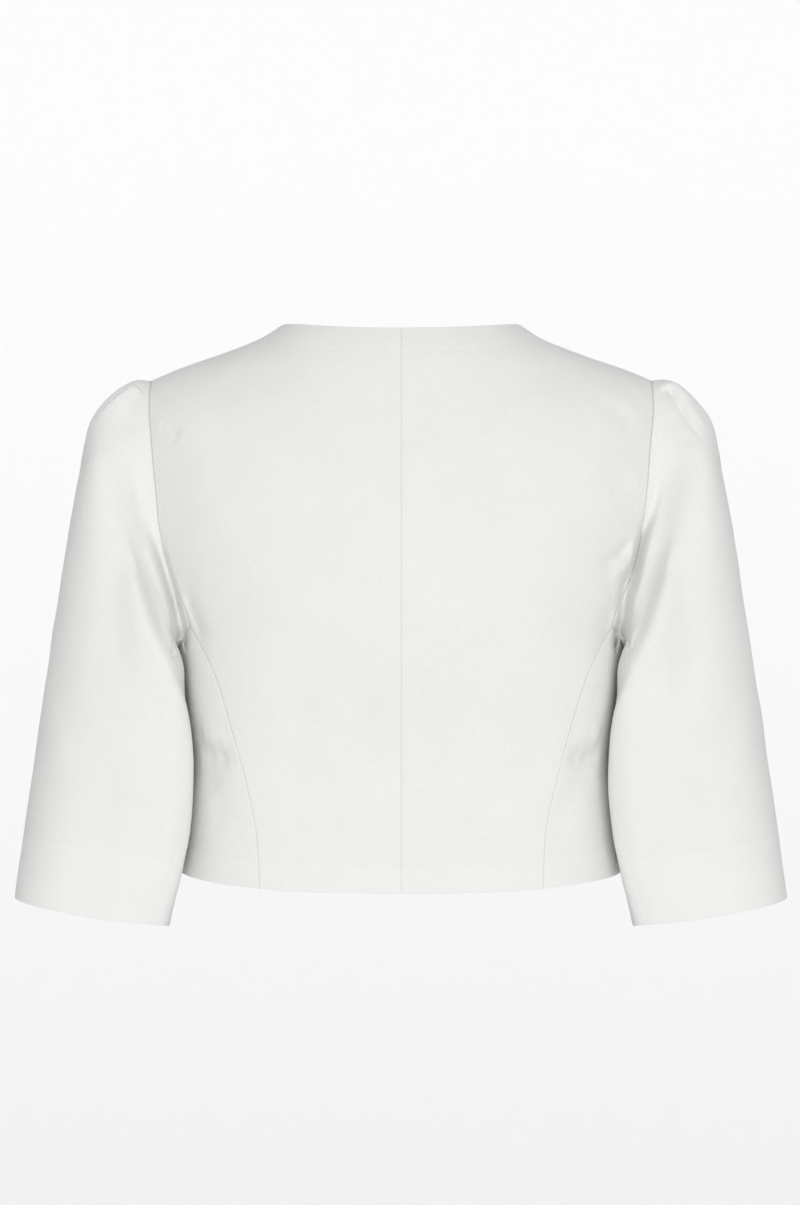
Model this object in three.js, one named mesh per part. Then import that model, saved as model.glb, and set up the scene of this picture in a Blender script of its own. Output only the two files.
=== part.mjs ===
// A cropped bolero jacket with half-length sleeves, standing open and hollow as if worn.
// Millimetres, +Z up, the front faces -Y and the wearer's left is +X.
// The origin is midway between the two side neck points, where the jacket hangs on the shoulders.
import * as THREE from "three";

const wall = 2; // thickness of the cloth
const seamGap = 0.3; // clear distance between two pieces at a seam
const sleeveGap = 0.3; // clear distance between an armhole's edge and its sleeve
const clothColour = new THREE.Color().setRGB(0.86, 0.86, 0.84, THREE.SRGBColorSpace);
const clothRoughness = 0.85;

// A table as a list of objects: the names of its columns first, then its rows.
const table = (names, rows) => rows.map((row) => Object.fromEntries(names.map((name, i) => [name, row[i]])));

// The torso's sections, from the hem up to the neckline. A section is a closed curve round the figure:
// x is halfWidth at its sides, y goes from backY through sideY to frontY, and its height from backZ
// through sideZ to frontZ. fall is the power by which it leaves sideZ. backSquare and frontSquare are
// superellipse exponents, 2 for an ellipse. princessX is where the back princess seam crosses the section.
// The sides of the sections at the armhole lie outside the cloth, in the hole.
const torsoSections = table(
  [
    "name", "halfWidth", "backY", "sideY", "frontY", "backZ", "sideZ", "frontZ",
    "fall", "backSquare", "frontSquare", "princessX",
  ],
  [
    ["hem", 164.5, 88, -26, -121, -413, -403, -405, 2, 3.1, 2.4, 102],
    ["low waist", 159, 83, -26, -123, -373, -366, -367, 2, 3.4, 2.4, 104],
    ["waist", 156, 80, -25, -127, -329, -325, -326, 2, 3.6, 2.4, 113.5],
    ["ribs", 159.5, 91, -23, -136, -283, -281, -285, 2, 3.5, 2.4, 126.5],
    ["underarm", 165, 103, -17, -140, -241, -240, -246, 2, 2.7, 2.4, 141.5],
    ["low armhole", 184, 109, -14, -136, -203, -182, -213, 1.7, 2.35, 2.4, 184],
    ["mid armhole", 200, 110, -11, -124, -165, -116, -181, 1.4, 2.15, 2.4, 200],
    ["high armhole", 203, 106, -7, -110, -129, -66, -154, 1.25, 2, 2.3, 203],
    ["shoulder tip", 186, 98, -3, -99, -96, -41, -132, 1.6, 2.1, 2.2, 186],
    ["mid shoulder", 134, 84, -1, -90, -52, -22, -113, 2, 2.1, 2.1, 134],
    ["near neck", 105, 74, 0, -85, -26, -10.5, -101, 2, 2.2, 2.05, 105],
    ["neckline", 88, 62, 0, -80, -6.5, 0.5, -88, 2, 2.2, 2, 88],
  ],
);
const underarmLevel = 4;
const tipLevel = 8;
const neckLevel = torsoSections.length - 1;

// The armhole's outline. turn is the place on the sleeve that is sewn there, in degrees round it, 0 at the
// top and 90 behind. fromSide is in degrees of section angle from the side line towards the back.
const armholeOutline = table(
  ["name", "turn", "fromSide", "level"],
  [
    ["shoulder tip", 0, 0, 8],
    ["upper back", 28, 15.5, 7.84],
    ["shoulder blade", 62, 26, 7.08],
    ["back notch", 98, 28.5, 6.2],
    ["low back", 136, 26, 5.15],
    ["back corner", 168, 28.5, 4.43],
    ["behind the underarm", 196, 16, 4.1],
    ["underarm", 222, 0, 4],
    ["before the underarm", 241, -13, 4.12],
    ["front corner", 261, -22, 4.6],
    ["front notch", 290, -26, 5.7],
    ["upper front", 330, -17, 7.4],
  ],
);
const underarmTurn = 222;

// The front edge: its distance from the centre line at hem and neck, and the two rounded corners.
const frontEdge = {
  hemX: 14,
  neckX: 7,
  hemCorner: 34,
  neckCorner: 16,
  hemCornerLevels: 0.9,
  neckCornerLevels: 0.8,
};

// The left sleeve rolls over its seam by these offsets from the armhole, at its top and at the underarm.
const seamRoll = { top: [15, 0, 0], underarm: [5, 2, -5] };

// The left sleeve's rings, from the cap to the cuff, as the four outermost points of each ring. edge moves
// the rounded edge between its back and inner points, where the cloth turns towards the body.
const sleeveRings = table(
  ["name", "outer", "back", "inner", "front", "square", "edge"],
  [
    ["cap shoulder", [222, -1, -62], [202, 69, -184], [156, 53, -251], [205, -68, -200], 2.2, [-2, -2, 0]],
    ["upper arm", [239, 1, -122], [206, 73, -222], [157, 48, -267], [209, -61, -234], 2.3, [-8, -7, 0]],
    ["above elbow", [253, 3, -212], [207, 71, -272], [154, 42, -292], [213, -55, -276], 2.4, [-13, -9, 0]],
    ["elbow", [267, 4, -302], [210, 69, -328], [153.5, 38, -335], [216, -50, -327], 2.4, [-14, -8, 0]],
    ["below elbow", [277, 5, -367], [217, 67, -383], [160, 34, -388], [221, -48, -383], 2.4, [-14, -7, 0]],
    ["cuff", [284, 5, -421], [228, 65, -432], [169, 28, -440], [229, -47, -432], 2.4, [-10, -4, 0]],
  ],
);

// Soft troughs, negative, and ridges, positive, along a path of points. heights are out of the cloth, at the
// path's start and end. A fold with lapWidth drops away that quickly on its front side, like a pleat's edge.
const sleeveFolds = table(
  ["name", "heights", "halfWidth", "path", "lapWidth"],
  [
    ["back armhole trough", [-4, -10], 6.5, [[191, 50, -114], [186, 50, -145], [175, 50, -172],
      [167, 53, -200], [158, 55, -226]]],
    ["front armhole trough", [-5, -5], 9, [[188, -62, -116], [174, -72, -200]]],
    ["crown pleat", [3.5, 3.5], 15, [[189, 8, -41], [224, 14, -72]], 4],
    ["valley behind the crown pleat", [-2.5, -2.5], 9, [[196, 30, -50], [222, 36, -92]]],
  ],
);
const torsoFolds = table(
  ["name", "heights", "halfWidth", "path"],
  [
    ["waist crease", [-3.5, -3.5], 13, [[133, 55, -322], [156, 0, -320]]],
    ["fullness at the back corner", [2.5, 2.5], 14, [[150, 60, -240], [149, 58, -286]]],
    ["hollow at the armhole's back corner", [-3, -5], 10, [[165, 66, -194], [156, 58, -224]]],
  ],
);

// How finely the cloth is divided. Rows stand closer together at the hem, for its rounded front corner.
const skirtShares = [0, 0.02, 0.055, 0.1, 0.16, 0.24, 0.33, 0.43, 0.54, 0.66, 0.78, 0.89, 1];
const armholeRows = { back: 20, front: 15 };
const columns = { neck: 6, shoulder: 7, side: 6 };
const capShares = [0, 0.012, 0.026, 0.043, 0.065, 0.095, 0.135, 0.18, 0.24];
const sleeveRowShares = [...capShares, 0.31, 0.39, 0.48, 0.57, 0.66, 0.75, 0.84, 0.92, 1];

const quarter = Math.PI / 2;
const radians = THREE.MathUtils.degToRad;

// A cubic from one value to another with given slopes, t from 0 to 1.
function cubic(from, leave, to, arrive, t) {
  const bend = 3 * (to - from) - 2 * leave - arrive;
  const twist = leave + arrive - 2 * (to - from);
  return from + t * (leave + t * (bend + t * twist));
}

// One column of the torso's table at a level, which need not be whole.
function sectionValue(level, column) {
  const at = Math.min(Math.max(level, 0), neckLevel);
  const k = Math.min(Math.floor(at), neckLevel - 1);
  const value = (i) => torsoSections[Math.min(Math.max(i, 0), neckLevel)][column];
  const leave = (value(k + 1) - value(k - 1)) / 2;
  const arrive = (value(k + 2) - value(k)) / 2;
  return cubic(value(k), leave, value(k + 1), arrive, at - k);
}

// Height of the folds at a point. Each fold is a soft bump along its path that dies out at both ends.
function foldHeight(point, folds) {
  let height = 0;
  for (const fold of folds) {
    const path = fold.path.map((place) => new THREE.Vector3(...place));
    let near = null;
    for (let k = 0; k < path.length - 1; k += 1) {
      const along = path[k + 1].clone().sub(path[k]);
      const share = THREE.MathUtils.clamp(point.clone().sub(path[k]).dot(along) / along.lengthSq(), 0, 1);
      const off = point.clone().sub(along.multiplyScalar(share).add(path[k]));
      if (near && near.off.lengthSq() <= off.lengthSq()) continue;
      near = { off, share: (k + share) / (path.length - 1) };
    }
    const width = fold.lapWidth && near.off.y < 0 ? fold.lapWidth : fold.halfWidth;
    const peak = THREE.MathUtils.lerp(fold.heights[0], fold.heights[1], near.share);
    height += peak * Math.exp(-near.off.lengthSq() / width ** 2);
  }
  return height;
}

// Moves a point of a surface out along its normal by the height of the folds there.
function folded(surface, u, v, folds) {
  const point = surface(u, v);
  return point.addScaledVector(normalOf(surface, u, v), foldHeight(point, folds));
}

// The outward normal of a surface given as a function of two parameters.
function normalOf(surface, u, v) {
  const step = 1e-3;
  const du = surface(u + step, v).sub(surface(u - step, v));
  const dv = surface(u, v + step).sub(surface(u, v - step));
  return du.cross(dv).normalize();
}

// The plain torso of the left half. Angle 0 is the centre back, 90 degrees the side and 180 the centre front.
function plainTorso(level, angle) {
  const value = (column) => sectionValue(level, column);
  const c = Math.cos(angle);
  const s = Math.sin(angle);
  const power = 2 / value(c >= 0 ? "backSquare" : "frontSquare");
  const end = c >= 0 ? "back" : "front";
  const x = value("halfWidth") * Math.sign(s) * Math.abs(s) ** power;
  const y = THREE.MathUtils.lerp(value("sideY"), value(end + "Y"), Math.abs(c) ** power);
  const z = THREE.MathUtils.lerp(value("sideZ"), value(end + "Z"), Math.abs(c) ** value("fall"));
  return new THREE.Vector3(x, y, z);
}

const torso = (level, angle) => folded(plainTorso, level, angle, torsoFolds);

// The section angle at which the torso has the given x, on its back or its front.
function angleAtX(level, x, onFront) {
  const square = sectionValue(level, onFront ? "frontSquare" : "backSquare");
  const share = THREE.MathUtils.clamp(x / sectionValue(level, "halfWidth"), 0, 1);
  const angle = Math.asin(share ** (square / 2));
  return onFront ? Math.PI - angle : angle;
}

// The armhole at a turn in degrees.
function armhole(turn) {
  const count = armholeOutline.length;
  const degrees = THREE.MathUtils.euclideanModulo(turn, 360);
  const row = (i) => {
    const outline = armholeOutline[THREE.MathUtils.euclideanModulo(i, count)];
    return { ...outline, turn: outline.turn + 360 * Math.floor(i / count) };
  };
  const k = armholeOutline.filter((outline) => outline.turn <= degrees).length - 1;
  const [before, from, to, after] = [row(k - 1), row(k), row(k + 1), row(k + 2)];
  const span = to.turn - from.turn;
  const value = (column) => {
    const leave = (span * (to[column] - before[column])) / (to.turn - before.turn);
    const arrive = (span * (after[column] - from[column])) / (after.turn - from.turn);
    return cubic(from[column], leave, to[column], arrive, (degrees - from.turn) / span);
  };
  return { level: value("level"), angle: quarter - radians(value("fromSide")) };
}

const princess = (level) => ({ level, angle: angleAtX(level, sectionValue(level, "princessX"), false) });

// The turn at which the princess seam runs into the armhole.
function findPrincessTurn() {
  let low = 100;
  let high = underarmTurn;
  for (let i = 0; i < 40; i += 1) {
    const turn = (low + high) / 2;
    const spot = armhole(turn);
    if (princess(spot.level).angle > spot.angle) low = turn;
    else high = turn;
  }
  return low;
}
const princessTurn = findPrincessTurn();
const princessTop = armhole(princessTurn).level;

// The front edge, rounded into the hem and into the neckline.
function frontEdgeSpot(level) {
  const round = (levels, reach) => (levels >= reach ? 0 : 1 - Math.sqrt(1 - (1 - levels / reach) ** 2));
  const x =
    THREE.MathUtils.lerp(frontEdge.hemX, frontEdge.neckX, level / neckLevel) +
    frontEdge.hemCorner * round(level, frontEdge.hemCornerLevels) +
    frontEdge.neckCorner * round(neckLevel - level, frontEdge.neckCornerLevels);
  return { level, angle: angleAtX(level, x, true) };
}

const shares = (count) => Array.from({ length: count + 1 }, (_, i) => i / count);

// The turns where the sleeve's columns run, shared with the panels' edges. They stand closer at its top.
const backTurns = shares(armholeRows.back).map((share) => princessTurn * share ** 1.25);
const sideTurns = shares(columns.side).map((share) => princessTurn + (underarmTurn - princessTurn) * share);
const frontTurns = shares(armholeRows.front).map((share) => 360 - (360 - underarmTurn) * (1 - share) ** 1.2);

// A wall of cloth from a grid of outer points and their outward normals. loop joins the last column to
// the first. Each cell is split the tighter way, alike on both faces of the cloth.
function wallGeometry(grid, loop) {
  const high = grid.length;
  const wide = grid[0].length;
  const nodes = grid.flat();
  const face = (depth) => nodes.map(({ point, normal }) => point.clone().addScaledVector(normal, -depth));
  const inner = nodes.length;
  const index = [];
  const area = (...corners) => new THREE.Triangle(...corners.map((corner) => nodes[corner].point)).getArea();
  const span = (a, b) => nodes[a].point.distanceTo(nodes[b].point);
  const cost = (a, b, c, d) => area(a, b, c) + area(a, c, d) + 0.005 * span(a, c);
  const cell = (a, b, c, d) => {
    const [p, q, r, s] = cost(a, b, c, d) < cost(b, c, d, a) ? [a, b, c, d] : [b, c, d, a];
    index.push(p, r, q, p, s, r);
    index.push(inner + p, inner + q, inner + r, inner + p, inner + r, inner + s);
  };
  const rim = (a, b) => index.push(a, b, inner + b, a, inner + b, inner + a);
  const last = (high - 1) * wide;
  const spans = loop ? wide : wide - 1;
  for (let i = 0; i < spans; i += 1) {
    const next = (i + 1) % wide;
    rim(i, next);
    rim(last + next, last + i);
    for (let j = 0; j < high - 1; j += 1) {
      cell(j * wide + i, j * wide + next, (j + 1) * wide + next, (j + 1) * wide + i);
    }
  }
  for (let j = 0; j < high - 1 && !loop; j += 1) {
    rim((j + 1) * wide, j * wide);
    rim((j + 1) * wide - 1, (j + 2) * wide - 1);
  }
  const positions = [...face(0), ...face(wall)].flatMap((point) => point.toArray());
  const geometry = new THREE.BufferGeometry();
  geometry.setAttribute("position", new THREE.Float32BufferAttribute(positions, 3));
  geometry.setIndex(index);
  geometry.computeVertexNormals();
  return geometry;
}

// Takes a grid's edges in by half a seam gap, square to each edge and along the cloth.
function takenIn(grid) {
  const high = grid.length;
  const wide = grid[0].length;
  const at = (j, i) => grid[Math.min(Math.max(j, 0), high - 1)][Math.min(Math.max(i, 0), wide - 1)].point;
  const inward = (j, i, dj, di) => {
    const run = at(j + di, i + dj).clone().sub(at(j - di, i - dj)).normalize();
    const into = at(j + dj, i + di).clone().sub(at(j, i));
    return into.addScaledVector(run, -into.dot(run)).setLength(seamGap / 2);
  };
  return grid.map((row, j) =>
    row.map(({ point, normal }, i) => {
      const moved = point.clone();
      if (j === 0) moved.add(inward(j, i, 1, 0));
      if (j === high - 1) moved.add(inward(j, i, -1, 0));
      if (i === 0) moved.add(inward(j, i, 0, 1));
      if (i === wide - 1) moved.add(inward(j, i, 0, -1));
      return { point: moved, normal };
    }),
  );
}

const mix = (from, to, share) => ({
  level: THREE.MathUtils.lerp(from.level, to.level, share),
  angle: THREE.MathUtils.lerp(from.angle, to.angle, share),
});

// Rows of spots between two edges that are given row by row.
const strip = (fromEdge, toEdge, across) =>
  fromEdge.map((from, j) => across.map((share) => mix(from, toEdge[j], share)));

// Rows of spots that fill a patch from the edges round it. All four are lists that meet at the corners.
function patch(bottom, top, start, end) {
  const rows = start.length - 1;
  const wide = bottom.length - 1;
  return start.map((_, j) =>
    bottom.map((_, i) => {
      const upright = mix(bottom[i], top[i], j / rows);
      const across = mix(start[j], end[j], i / wide);
      const corners = mix(mix(bottom[0], bottom[wide], i / wide), mix(top[0], top[wide], i / wide), j / rows);
      return {
        level: upright.level + across.level - corners.level,
        angle: upright.angle + across.angle - corners.angle,
      };
    }),
  );
}

// Turns rows of spots into points and normals of the torso.
function panelGrid(spots) {
  return takenIn(
    spots.map((row) =>
      row.map(({ level, angle }) => ({ point: torso(level, angle), normal: normalOf(torso, level, angle) })),
    ),
  );
}

const centreBack = (level) => ({ level, angle: 0 });
const atSide = (level) => ({ level, angle: quarter });
const levelsTo = (from, to, list) => list.map((share) => THREE.MathUtils.lerp(from, to, share));
const shoulderSeam = levelsTo(neckLevel, tipLevel, shares(columns.shoulder)).map(atSide);

function backGrid() {
  const hemward = levelsTo(0, princessTop, skirtShares);
  const across = shares(columns.neck + columns.shoulder).map((share) => share ** 1.3);
  const skirt = strip(hemward.map(centreBack), hemward.map(princess), across);
  const neck = shares(columns.neck).map((share) => ({ level: neckLevel, angle: quarter * share ** 1.3 }));
  const upper = patch(
    skirt.at(-1),
    [...neck, ...shoulderSeam.slice(1)],
    levelsTo(princessTop, neckLevel, shares(armholeRows.back)).map(centreBack),
    [...backTurns].reverse().map(armhole),
  );
  return panelGrid([...skirt, ...upper.slice(1)]);
}

function frontGrid() {
  const hemward = levelsTo(0, underarmLevel, skirtShares);
  const across = shares(columns.neck + columns.shoulder).map((share) => 1 - (1 - share) ** 1.2);
  const skirt = strip(hemward.map(atSide), hemward.map(frontEdgeSpot), across);
  const upward = shares(armholeRows.front).map((share) => 1 - (1 - share) ** 1.3);
  const corner = frontEdgeSpot(neckLevel);
  const neck = shares(columns.neck).map((share) => mix(atSide(neckLevel), corner, share));
  const upper = patch(
    skirt.at(-1),
    [...[...shoulderSeam].reverse(), ...neck.slice(1)],
    frontTurns.map(armhole),
    levelsTo(underarmLevel, neckLevel, upward).map(frontEdgeSpot),
  );
  return panelGrid([...skirt, ...upper.slice(1)]);
}

// The side back panel ends at the armhole's foot.
function sideGrid() {
  const foot = sideTurns.map(armhole);
  const hem = shares(columns.side).map((share) => mix(princess(0), atSide(0), share));
  const spots = patch(
    hem,
    foot,
    levelsTo(0, princessTop, skirtShares).map(princess),
    levelsTo(0, underarmLevel, skirtShares).map(atSide),
  );
  return panelGrid(spots);
}

// The sleeve's start: a point of the armhole, moved off the panels' edge into the hole.
function armholeStart(turn) {
  const { angle, level } = armhole(turn);
  const ahead = armhole(turn + 0.1);
  const behind = armhole(turn - 0.1);
  const run = torso(ahead.level, ahead.angle).sub(torso(behind.level, behind.angle)).normalize();
  const away = run.cross(normalOf(torso, level, angle)).normalize();
  return torso(level, angle).addScaledVector(away, sleeveGap);
}

// A point of one of the sleeve's rings. Turn 0 is the outer point, 90 the back one.
function ringPoint(ring, turn) {
  const sides = ["outer", "back", "inner", "front"];
  const [outer, back, inner, front] = sides.map((side) => new THREE.Vector3(...ring[side]));
  const centre = outer.clone().lerp(inner, 0.5);
  centre.y = (back.y + front.y) / 2;
  centre.z = (back.z + front.z + outer.z + inner.z) / 4;
  const c = Math.cos(radians(turn));
  const s = Math.sin(radians(turn));
  const power = 2 / ring.square;
  const point = centre.clone();
  point.addScaledVector((c >= 0 ? outer : inner).clone().sub(centre), Math.abs(c) ** power);
  point.addScaledVector((s >= 0 ? back : front).clone().sub(centre), Math.abs(s) ** power);
  if (c < 0 && s > 0) point.addScaledVector(new THREE.Vector3(...ring.edge), (2 * c * s) ** 2);
  return point;
}

// The line down the sleeve at a turn: from the armhole through each ring to the cuff.
const sleeveLines = new Map();
function sleeveLine(turn) {
  if (!sleeveLines.has(turn)) {
    const start = armholeStart(turn);
    const low = Math.sin(radians(turn - (underarmTurn - 180)) / 2) ** 2;
    const roll = new THREE.Vector3(...seamRoll.top).lerp(new THREE.Vector3(...seamRoll.underarm), low);
    const points = [start, start.clone().add(roll), ...sleeveRings.map((ring) => ringPoint(ring, turn))];
    const line = new THREE.CatmullRomCurve3(points, false, "centripetal");
    line.arcLengthDivisions = 400;
    sleeveLines.set(turn, line);
  }
  return sleeveLines.get(turn);
}

// The sleeve: the first parameter runs down it from 0 to 1, the second is the turn.
function plainSleeve(share, turn) {
  const line = sleeveLine(turn);
  const end = THREE.MathUtils.clamp(share, 0, 1);
  const beyond = (share - end) * line.getLength();
  return line.getPointAt(end).addScaledVector(line.getTangentAt(end), beyond);
}

// The folds fade in over the first rows, so that the sleeve still meets the armhole.
function sleeve(share, turn) {
  const point = plainSleeve(share, turn);
  const fade = THREE.MathUtils.smoothstep(share, 0, sleeveRowShares[2]);
  return point.addScaledVector(normalOf(plainSleeve, share, turn), fade * foldHeight(point, sleeveFolds));
}

function sleeveGrid() {
  const turns = [...backTurns.slice(0, -1), ...sideTurns.slice(0, -1), ...frontTurns.slice(0, -1)];
  return sleeveRowShares.map((share) =>
    turns.map((turn) => ({ point: sleeve(share, turn), normal: normalOf(sleeve, share, turn) })),
  );
}

// The right half is the left one mirrored. Each row is also turned round, so that the faces still point out.
function mirrored(grid) {
  const flip = (vector) => new THREE.Vector3(-vector.x, vector.y, vector.z);
  const other = ({ point, normal }) => ({ point: flip(point), normal: flip(normal) });
  return grid.map((row) => row.map(other).reverse());
}

const cloth = new THREE.MeshStandardMaterial({ color: clothColour, roughness: clothRoughness, metalness: 0 });
const jacket = new THREE.Group();

function addPair(name, grid, loop) {
  for (const [side, half] of [["left", grid], ["right", mirrored(grid)]]) {
    const mesh = new THREE.Mesh(wallGeometry(half, loop), cloth.clone());
    mesh.name = `${name}_${side}`;
    jacket.add(mesh);
  }
}

addPair("back", backGrid(), false);
addPair("side_back", sideGrid(), false);
addPair("front", frontGrid(), false);
addPair("sleeve", sleeveGrid(), true);

export default jacket;
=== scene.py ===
import math

import bmesh
import bpy
import numpy as np
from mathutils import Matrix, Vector
from mathutils.bvhtree import BVHTree
from mathutils.kdtree import KDTree


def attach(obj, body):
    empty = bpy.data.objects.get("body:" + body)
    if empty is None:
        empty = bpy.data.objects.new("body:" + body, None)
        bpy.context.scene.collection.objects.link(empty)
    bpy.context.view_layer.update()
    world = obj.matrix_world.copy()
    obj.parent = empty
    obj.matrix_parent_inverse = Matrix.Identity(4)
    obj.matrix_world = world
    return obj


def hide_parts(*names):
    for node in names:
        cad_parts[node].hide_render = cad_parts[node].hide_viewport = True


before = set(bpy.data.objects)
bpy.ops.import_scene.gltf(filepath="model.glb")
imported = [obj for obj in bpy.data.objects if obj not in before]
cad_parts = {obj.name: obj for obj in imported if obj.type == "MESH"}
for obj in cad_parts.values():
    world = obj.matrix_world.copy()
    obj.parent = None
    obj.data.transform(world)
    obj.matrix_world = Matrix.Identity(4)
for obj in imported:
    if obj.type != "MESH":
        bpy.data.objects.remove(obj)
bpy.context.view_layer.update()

mm = 0.001

# Camera, light and floor

stageSettings = {
    "camera": (0.00074, 2.6, -0.205),  # behind the jacket, which shows its back
    "lens": 105.0,
    "farthest": 50.0,
    "floorHeight": -3.8,  # the jacket is held up by its shoulders, clear of it
    "floorColour": (0.88, 0.88, 0.877, 1.0),
    "floorSize": 11.0,
    "floorRoughness": 0.9,
    "floorSpecular": 0.1,
    "wallPlace": -6.5,  # far enough that a camera at the front stands before it
    "wallBend": 0.8,
    "bendSegments": 24,
    "skyStrength": 0.545,
    "backLight": {"toward": (0.08, -1.0, -0.02), "strength": 1.76, "softness": 50},
    "frontLight": {"toward": (-0.25, 1.0, -0.25), "strength": 1.0, "softness": 50},
}


def makeCamera():
    bpy.ops.object.camera_add(
        location=stageSettings["camera"], rotation=(math.radians(90), 0.0, math.radians(180)),
    )
    camera = bpy.context.object
    camera.name = "photoCamera"
    camera.data.lens = stageSettings["lens"]
    camera.data.clip_end = stageSettings["farthest"]
    bpy.context.scene.camera = camera


def makeSoftLight(name, settings):
    bpy.ops.object.light_add(type="SUN")
    light = bpy.context.object
    light.name = name
    light.data.energy = settings["strength"]
    light.data.angle = math.radians(settings["softness"])
    light.rotation_euler = Vector(settings["toward"]).to_track_quat("-Z", "Y").to_euler()


def makeSky():
    sky = bpy.data.worlds.new("paleStudio")
    sky.use_nodes = True
    shader = sky.node_tree.nodes["Background"]
    shader.inputs["Color"].default_value = (1.0, 1.0, 1.0, 1.0)
    shader.inputs["Strength"].default_value = stageSettings["skyStrength"]
    bpy.context.scene.world = sky


def selectEdges(thing, isWanted):
    mesh = bmesh.from_edit_mesh(thing.data)
    for edge in mesh.edges:
        edge.select_set(all(isWanted(vert.co) for vert in edge.verts))
    bmesh.update_edit_mesh(thing.data)


def makeFloor():
    # a floor that bends up into a wall, which is behind the jacket for the camera
    size = stageSettings["floorSize"]
    bpy.ops.object.select_all(action="DESELECT")
    bpy.ops.mesh.primitive_plane_add(
        size=size, location=(0.0, stageSettings["wallPlace"] + size / 2, stageSettings["floorHeight"])
    )
    floor = bpy.context.object
    floor.name = "studioFloor"
    bpy.ops.object.mode_set(mode="EDIT")
    bpy.ops.mesh.select_mode(type="EDGE")
    bpy.ops.mesh.select_all(action="DESELECT")
    selectEdges(floor, lambda place: place.y < 0)
    bpy.ops.mesh.extrude_region_move(TRANSFORM_OT_translate={"value": (0.0, 0.0, size)})
    bpy.ops.mesh.select_all(action="DESELECT")
    selectEdges(floor, lambda place: place.y < 0 and place.z < size / 2)
    bend, segments = stageSettings["wallBend"], stageSettings["bendSegments"]
    bpy.ops.mesh.bevel(offset=bend, segments=segments, affect="EDGES")
    bpy.ops.object.mode_set(mode="OBJECT")
    bpy.ops.object.shade_smooth()
    bpy.ops.object.transform_apply(location=True, rotation=True, scale=True)
    paint = bpy.data.materials.new("studioPaint")
    paint.use_nodes = True
    shader = paint.node_tree.nodes["Principled BSDF"]
    shader.inputs["Base Color"].default_value = stageSettings["floorColour"]
    shader.inputs["Roughness"].default_value = stageSettings["floorRoughness"]
    shader.inputs["Specular IOR Level"].default_value = stageSettings["floorSpecular"]
    floor.data.materials.append(paint)


makeCamera()
makeSky()
for name in ("backLight", "frontLight"):
    makeSoftLight(name, stageSettings[name])
makeFloor()
bpy.context.scene.view_settings.view_transform = "Standard"
print("stage: camera, lights and floor")

# The cloth's outer skins, welded into one mesh

panels = {
    "backLeft": {"node": "back_left", "part": "body"},
    "backRight": {"node": "back_right", "part": "body"},
    "sideBackLeft": {"node": "side_back_left", "part": "body"},
    "sideBackRight": {"node": "side_back_right", "part": "body"},
    "frontLeft": {"node": "front_left", "part": "body"},
    "frontRight": {"node": "front_right", "part": "body"},
    "sleeveLeft": {"node": "sleeve_left", "part": "sleeve"},
    "sleeveRight": {"node": "sleeve_right", "part": "sleeve"},
}
panelNames = list(panels)

cloth = {
    "rimAngle": 60,  # degrees between a wall's face and its cut edge
    "doubleDistance": 0.02 * mm,
    "weldDistance": 0.6 * mm,  # seams are up to 0.4 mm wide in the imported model
    "quadAngle": 70,
    "unwrapMargin": 0.01,
    "smoothing": 3,
    "thickness": 1.1 * mm,
    "hemThickness": 2.4 * mm,  # where the edge is turned under
    "hemDepth": 20 * mm,
    "cuffDepth": 48 * mm,
    "edgeRounding": 0.2 * mm,
    "edgeAngle": 70,
    "shadeAngle": 50,
    "armholeEase": {
        "from": -100 * mm, "to": -228 * mm, "behind": 30 * mm, "reach": 30 * mm, "passes": 14,
        "factor": 0.5, "sewn": 0.1 * mm,  # points nearer to a seam than that are on it, and stay
    },
    "valleyReach": 15 * mm,
    "seamCrease": 1.0,
    "seamSink": 0.12 * mm,
}


def selectOnly(*pieces):
    bpy.ops.object.select_all(action="DESELECT")
    for piece in pieces:
        piece.select_set(True)
    bpy.context.view_layer.objects.active = pieces[0]


def faceIslands(mesh, angle):
    # groups of faces that meet at less than the angle
    left = set(mesh.faces)
    while left:
        stack = [left.pop()]
        island = []
        while stack:
            face = stack.pop()
            island.append(face)
            for edge in face.edges:
                if len(edge.link_faces) != 2 or edge.calc_face_angle(0.0) > angle:
                    continue
                for other in edge.link_faces:
                    if other in left:
                        left.remove(other)
                        stack.append(other)
        yield island


def takeOuterSkin(panelName, slot):
    selectOnly(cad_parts[panels[panelName]["node"]])
    bpy.ops.object.duplicate()
    skin = bpy.context.object
    skin.name = panelName
    skin.parent = None
    for key in list(skin.keys()):
        del skin[key]
    skin.data.materials.clear()
    for name in panelNames:
        skin.data.materials.append(bpy.data.materials.get(name) or bpy.data.materials.new(name))
    bpy.ops.object.mode_set(mode="EDIT")
    bpy.ops.mesh.select_mode(type="FACE")
    bpy.ops.mesh.select_all(action="SELECT")
    bpy.ops.mesh.remove_doubles(threshold=cloth["doubleDistance"])
    mesh = bmesh.from_edit_mesh(skin.data)
    islands = list(faceIslands(mesh, math.radians(cloth["rimAngle"])))
    outer = max(islands, key=lambda island: sum(face.calc_area() for face in island))
    for face in mesh.faces:
        face.material_index = slot
        face.select = True
    for face in outer:
        face.select = False
    bmesh.update_edit_mesh(skin.data)
    bpy.ops.mesh.delete(type="FACE")
    bpy.ops.object.mode_set(mode="OBJECT")
    return skin


def weldSkins():
    skins = [takeOuterSkin(name, slot) for slot, name in enumerate(panelNames)]
    selectOnly(*skins)
    bpy.ops.object.join()
    jacket = bpy.context.object
    jacket.name = "weldedCloth"
    bpy.ops.object.mode_set(mode="EDIT")
    bpy.ops.mesh.select_all(action="SELECT")
    bpy.ops.mesh.remove_doubles(threshold=cloth["weldDistance"])
    angle = math.radians(cloth["quadAngle"])
    bpy.ops.mesh.tris_convert_to_quads(face_threshold=angle, shape_threshold=angle, materials=True)
    bpy.ops.mesh.select_all(action="DESELECT")
    bpy.ops.object.mode_set(mode="OBJECT")
    return jacket


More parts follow.
